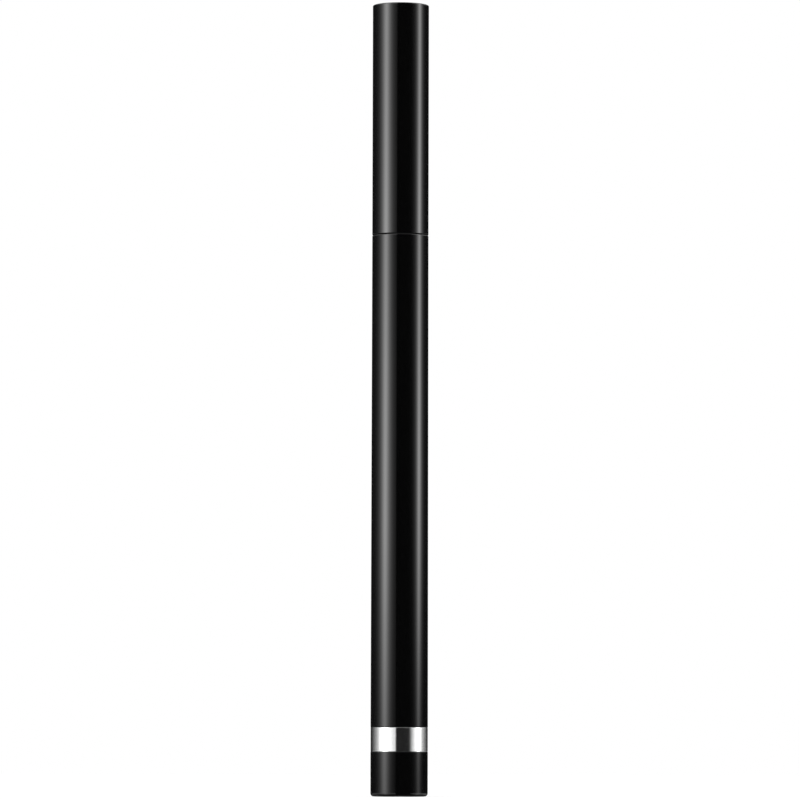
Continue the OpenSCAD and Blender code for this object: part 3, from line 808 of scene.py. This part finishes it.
def studio():
    """A white backdrop, soft lights at both sides and above, and a dark room in front."""
    world = bpy.data.worlds.new("studio")
    bpy.context.scene.world = world
    world.use_nodes = True
    tree = Tree(world.node_tree)
    direction = tree.add("ShaderNodeTexCoord").outputs["Generated"]
    split = tree.add("ShaderNodeSeparateXYZ")
    tree.links.new(direction, split.inputs[0])
    x, y, z = split.outputs
    degrees = 180 / math.pi
    towards_camera = tree.math("MULTIPLY", y, -1.0)
    azimuth = tree.math("MULTIPLY", tree.math("ARCTAN2", x, towards_camera), degrees)
    elevation = tree.math("MULTIPLY", tree.math("ARCSINE", z), degrees)
    aside = tree.math("ABSOLUTE", azimuth)

    # The strips stand on a dark glossy table, which mirrors them from just under the horizon.
    # A flag cuts the light on the left off sharply where it comes near the camera.
    along = tree.math("ABSOLUTE", tree.math("SUBTRACT", elevation, MIRROR_LINE_DEG))
    flag = tree.step(azimuth, *FLAG)
    left = tree.product(
        tree.soft_strip(azimuth, *LEFT_STRIP), flag,
        tree.step(along, *LEFT_BASE), tree.step(along, *LEFT_RISE))
    right = tree.product(
        tree.soft_strip(azimuth, *RIGHT_STRIP),
        tree.step(along, *RIGHT_BASE), tree.step(along, *RIGHT_RISE))
    strips = tree.product(tree.total(left, right), tree.step(elevation, *STRIP_MIRRORED))

    # Wide soft boxes above and below them
    wide_heights = tree.total(
        tree.step(elevation, *WIDE_ABOVE),
        tree.product(tree.step(elevation, *WIDE_BELOW), tree.step(elevation, *WIDE_BELOW_END)))
    wide_left = tree.product(
        tree.total(tree.step(azimuth, *WIDE_LEFT), tree.step(azimuth, *WIDE_BY_FLAG)), flag)
    wide_right = tree.product(
        tree.step(azimuth, *WIDE_RIGHT), tree.step(azimuth, *WIDE_RIGHT_END))
    wide = tree.product(wide_heights, tree.total(wide_left, wide_right))

    # Light from above and from the pale table reaches less far down and up in front
    front = tree.step(aside, *IN_FRONT)
    lifted = tree.math("SUBTRACT", elevation, tree.product(front, OVERHEAD_SHIFT_DEG))
    overhead = tree.product(
        tree.step(lifted, *OVERHEAD),
        tree.total(OVERHEAD_BEHIND, tree.product(front, OVERHEAD_MORE_IN_FRONT)),
        tree.step(elevation, *OVERHEAD_TOP))
    lowered = tree.math("ADD", elevation, tree.product(front, TABLE_SHIFT_DEG))
    room = tree.total(
        tree.product(tree.total(strips, wide), tree.step(along, *LIGHT_ENDS)),
        tree.step(aside, *DARK_ROOM),
        overhead,
        tree.step(lowered, *TABLE))

    # The camera sees only the backdrop, and gloss and glass see it behind the pen
    path = tree.add("ShaderNodeLightPath")
    mirror = tree.math(
        "MAXIMUM", path.outputs["Is Glossy Ray"], path.outputs["Is Transmission Ray"])
    mirrored = tree.product(mirror, tree.step(aside, *MIRRORED_BACKDROP))
    shown = tree.math("MAXIMUM", path.outputs["Is Camera Ray"], mirrored)
    backdrop = tree.add("ShaderNodeBackground")
    backdrop.inputs["Color"].default_value = (1, 1, 1, 1)
    lit = tree.add("ShaderNodeBackground")
    tree.links.new(room, lit.inputs["Strength"])
    mix = tree.add("ShaderNodeMixShader")
    tree.links.new(shown, mix.inputs[0])
    tree.links.new(lit.outputs[0], mix.inputs[1])
    tree.links.new(backdrop.outputs[0], mix.inputs[2])
    out = tree.add("ShaderNodeOutputWorld")
    tree.links.new(mix.outputs[0], out.inputs["Surface"])


def floor():
    """A pale floor that keeps the pen's shadow and runs into the white of the backdrop."""
    mesh = bmesh.new()
    bmesh.ops.create_grid(mesh, x_segments=24, y_segments=24, size=FLOOR_SIZE)
    made = bpy.data.materials.new("floor_paper")
    made.use_nodes = True
    tree = Tree(made.node_tree)
    paper = tree.add("ShaderNodeBsdfDiffuse")
    white = tree.blend(tree.noise(40), (0.88, 0.88, 0.88), (0.92, 0.92, 0.92))
    tree.feed(paper.inputs["Color"], white)
    glow = tree.add("ShaderNodeEmission")
    glow.inputs["Strength"].default_value = FLOOR_GLOW
    mix = tree.add("ShaderNodeMixShader")
    path = tree.add("ShaderNodeLightPath")
    glow_share = tree.product(path.outputs["Is Camera Ray"], FLOOR_GLOW_SHARE)
    tree.links.new(glow_share, mix.inputs[0])
    tree.links.new(paper.outputs[0], mix.inputs[1])
    tree.links.new(glow.outputs[0], mix.inputs[2])
    out = tree.add("ShaderNodeOutputMaterial")
    tree.links.new(mix.outputs[0], out.inputs["Surface"])
    plane = finished("floor", mesh, made)
    plane.visible_glossy = False


def camera():
    """The photograph's camera."""
    data = bpy.data.cameras.new("camera")
    data.sensor_width = SENSOR_MM
    data.lens = SENSOR_MM * FOCAL_PX / FRAME_PX
    data.clip_start, data.clip_end = CLIP_NEAR, CLIP_FAR
    eye = bpy.data.objects.new("camera", data)
    bpy.context.scene.collection.objects.link(eye)
    eye.location = (0, -EYE_DISTANCE, EYE_HEIGHT)
    aim = Vector((0, EYE_DISTANCE, AIM_HEIGHT - EYE_HEIGHT))
    eye.rotation_euler = aim.to_track_quat("-Z", "Y").to_euler()
    eye.rotation_euler.rotate_axis("Z", math.radians(LEAN_DEG))
    bpy.context.scene.camera = eye


studio()
floor()
camera()
bpy.context.scene.view_settings.view_transform = "Standard"
